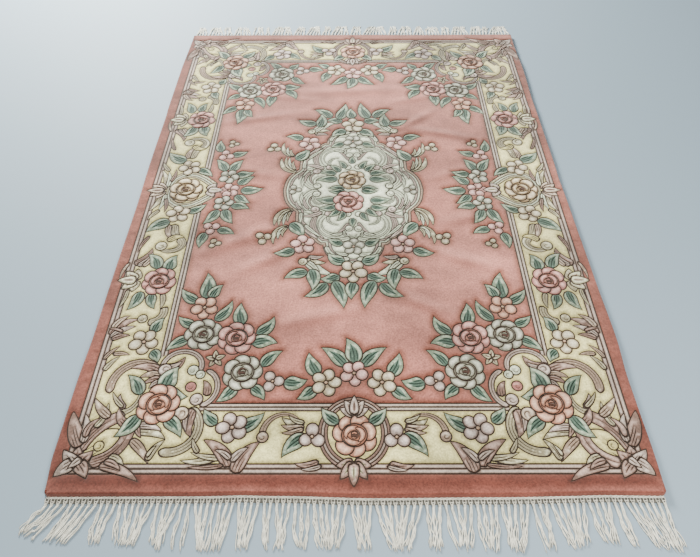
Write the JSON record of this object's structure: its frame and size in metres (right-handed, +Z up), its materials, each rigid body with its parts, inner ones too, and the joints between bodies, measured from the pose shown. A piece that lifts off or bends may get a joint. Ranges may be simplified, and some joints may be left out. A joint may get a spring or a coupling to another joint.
{
  "type": "carved wool floor rug",
  "caption": "Rectangular carved wool floor rug with a scroll border, a floral medallion and a knotted cotton fringe at both ends, lying flat.",
  "frame": {"origin": "on the floor, under the middle of the pile", "axes": "+Z up from the floor; +Y along the rug's length, towards its far end; +X across it, to its right side"},
  "size_m": [1.7972, 2.668, 0.022],
  "materials": {
    "pile_wool": "cut wool pile, carved along the outlines of the pattern",
    "fringe_cotton": "undyed knotted cotton yarn"
  },
  "bodies": {
    "root": {"rug_pile": "pile_wool", "fringe_front": "fringe_cotton", "fringe_back": "fringe_cotton"}
  },
  "joints": []
}
